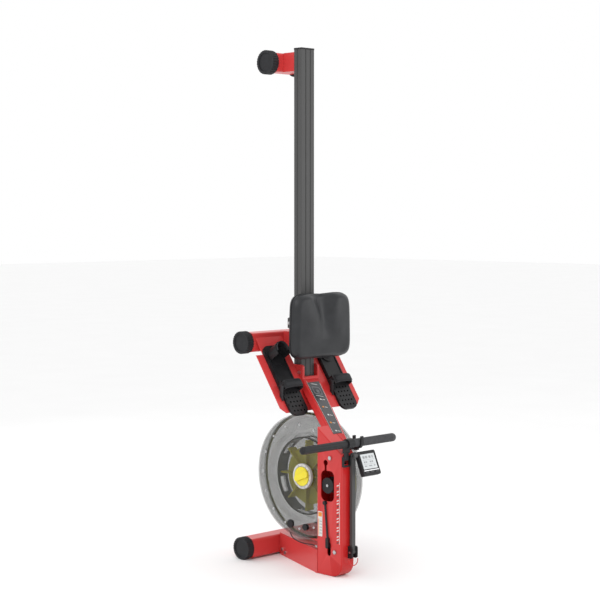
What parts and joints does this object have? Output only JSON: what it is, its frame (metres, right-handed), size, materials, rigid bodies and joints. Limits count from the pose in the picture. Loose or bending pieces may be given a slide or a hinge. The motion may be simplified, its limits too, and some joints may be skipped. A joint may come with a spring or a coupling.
{
  "type": "rowing machine",
  "caption": "Fluid resistance rowing machine stored upright, with sliding seat, pull handle on a strap, clear tank with impeller, footplates and tilting console.",
  "frame": {"origin": "on the standing surface, under the middle of the upright machine", "axes": "+Z up along the rail of the stored machine; -Y is up when the machine lies in use; X runs across the machine"},
  "size_m": [0.628, 0.5864, 1.949],
  "materials": {
    "frame_red": "gloss enamel",
    "rail_black": "black anodised, satin",
    "rubber_black": "matt",
    "plastic_black": "fine moulded texture",
    "seat_skin": "soft satin moulded skin",
    "tank_clear": "smoky clear polycarbonate",
    "gasket_olive": "satin",
    "impeller_yellow": "gloss",
    "reservoir_grey": "smoky clear",
    "dial_yellow": "gloss",
    "bezel_white": "gloss",
    "steel": "zinc plated",
    "webbing_black": "woven",
    "grip_grey": "knurled",
    "panel_print": "printed film",
    "screen": "LCD window"
  },
  "bodies": {
    "frame": {"rail": "rail_black", "rail_end_cap": "plastic_black", "front_leg_bar": "frame_red", "middle_leg_bar": "frame_red", "rear_leg_bar": "frame_red", "leg_posts": "frame_red", "leg_caps": "rubber_black", "neck_beam": "frame_red", "rail_fork": "frame_red", "spine_housing": "frame_red", "nose_arm": "frame_red", "footplate_carrier": "frame_red", "left_footplate": "plastic_black", "right_footplate": "plastic_black", "foot_straps": "webbing_black", "tank_left_shell": "tank_clear", "tank_right_shell": "tank_clear", "tank_gasket": "gasket_olive", "tank_screws": "steel", "tank_plugs": "plastic_black", "tank_bearings": "steel", "inner_reservoir": "reservoir_grey", "dial_bezel": "bezel_white", "tank_brackets": "frame_red", "drive_cover": "plastic_black", "idler_pins": "steel", "bungee": "webbing_black", "bungee_hooks": "plastic_black", "sensor_cable": "rubber_black", "strap_guide": "plastic_black", "handle_holder": "plastic_black", "console_bracket": "plastic_black", "decal_panel": "panel_print", "frame_bolts": "steel"},
    "impeller": {"impeller": "impeller_yellow", "tank_axle": "steel"},
    "drive_spool": {"drive_spool": "plastic_black"},
    "resistance_dial": {"resistance_dial": "dial_yellow"},
    "upper_idler": {"upper_idler": "plastic_black"},
    "lower_idler": {"lower_idler": "plastic_black"},
    "handle": {"handle_bar": "plastic_black", "handle_grip": "grip_grey", "handle_clip": "plastic_black", "drive_strap": "webbing_black"},
    "console_arm": {"console_arm": "rail_black", "console_pins": "steel"},
    "console": {"console_housing": "plastic_black", "console_screen": "screen"},
    "console_button_1": {"console_button_1": "grip_grey"},
    "console_button_2": {"console_button_2": "grip_grey"},
    "console_button_3": {"console_button_3": "grip_grey"},
    "seat": {"seat_pad": "seat_skin", "seat_base": "plastic_black", "carriage_plates": "rail_black", "roller_axles": "steel"},
    "upper_roller_top": {"upper_roller_top": "grip_grey"},
    "upper_roller_bottom": {"upper_roller_bottom": "grip_grey"},
    "lower_rollers": {"lower_rollers": "grip_grey"},
    "left_heel_cup": {"left_heel_cup": "plastic_black"},
    "right_heel_cup": {"right_heel_cup": "plastic_black"}
  },
  "joints": [
    {"name": "seat_slide", "type": "slide", "parent": "frame", "child": "seat", "axis": [0, 0, 1], "range_m": [0, 0.9]},
    {"name": "upper_roller_top_spin", "type": "hinge", "parent": "seat", "child": "upper_roller_top", "pos_m": [0.089, 0.0959, 0.972], "axis": [1, 0, 0], "range_deg": [-3700, 10]},
    {"name": "upper_roller_bottom_spin", "type": "hinge", "parent": "seat", "child": "upper_roller_bottom", "pos_m": [0.089, 0.0959, 0.832], "axis": [1, 0, 0], "range_deg": [-3700, 10]},
    {"name": "lower_rollers_spin", "type": "hinge", "parent": "seat", "child": "lower_rollers", "pos_m": [0.089, 0.1625, 0.902], "axis": [1, 0, 0], "range_deg": [-10, 4700]},
    {"name": "handle_pull", "type": "slide", "parent": "frame", "child": "handle", "axis": [0, 0, 1], "range_m": [0, 1.1], "deforming": ["drive_strap"]},
    {"name": "drive_spool_spin", "type": "hinge", "parent": "frame", "child": "drive_spool", "pos_m": [0.032, 0.0452, 0.33], "axis": [1, 0, 0], "range_deg": [-10, 1420]},
    {"name": "upper_idler_spin", "type": "hinge", "parent": "frame", "child": "upper_idler", "pos_m": [-0.069, -0.2198, 0.406], "axis": [1, 0, 0], "range_deg": [-10, 7010]},
    {"name": "lower_idler_spin", "type": "hinge", "parent": "frame", "child": "lower_idler", "pos_m": [-0.069, -0.1618, 0.33], "axis": [1, 0, 0], "range_deg": [-2540, 10]},
    {"name": "impeller_spin", "type": "hinge", "parent": "frame", "child": "impeller", "pos_m": [0.032, 0.0452, 0.33], "axis": [1, 0, 0], "continuous": true},
    {"name": "dial_turn", "type": "hinge", "parent": "frame", "child": "resistance_dial", "pos_m": [0.032, 0.0452, 0.33], "axis": [1, 0, 0], "range_deg": [-120, 120]},
    {"name": "console_swing", "type": "hinge", "parent": "frame", "child": "console_arm", "pos_m": [-0.041, -0.2478, 0.092], "axis": [1, 0, 0], "range_deg": [0, 100]},
    {"name": "console_tilt", "type": "hinge", "parent": "console_arm", "child": "console", "pos_m": [-0.041, -0.2538, 0.446], "axis": [1, 0, 0], "range_deg": [-40, 20]},
    {"name": "console_button_1_press", "type": "slide", "parent": "console", "child": "console_button_1", "axis": [0, 0.9205, -0.3907], "range_m": [0, 0.0015], "stiffness_N_per_m": 300, "springref_m": -0.001},
    {"name": "console_button_2_press", "type": "slide", "parent": "console", "child": "console_button_2", "axis": [0, 0.9205, -0.3907], "range_m": [0, 0.0015], "stiffness_N_per_m": 300, "springref_m": -0.001},
    {"name": "console_button_3_press", "type": "slide", "parent": "console", "child": "console_button_3", "axis": [0, 0.9205, -0.3907], "range_m": [0, 0.0015], "stiffness_N_per_m": 300, "springref_m": -0.001},
    {"name": "left_heel_slide", "type": "slide", "parent": "frame", "child": "left_heel_cup", "axis": [0, -0.5633, -0.8263], "range_m": [0, 0.05]},
    {"name": "right_heel_slide", "type": "slide", "parent": "frame", "child": "right_heel_cup", "axis": [0, -0.5633, -0.8263], "range_m": [0, 0.05]}
  ],
  "couplings": [
    {"joint": "upper_roller_top_spin", "follows": "seat_slide", "rad_per_m": -71.429},
    {"joint": "upper_roller_bottom_spin", "follows": "seat_slide", "rad_per_m": -71.429},
    {"joint": "lower_rollers_spin", "follows": "seat_slide", "rad_per_m": 90.909},
    {"joint": "drive_spool_spin", "follows": "handle_pull", "rad_per_m": 22.222},
    {"joint": "upper_idler_spin", "follows": "handle_pull", "rad_per_m": 111.11},
    {"joint": "lower_idler_spin", "follows": "handle_pull", "rad_per_m": -40}
  ]
}
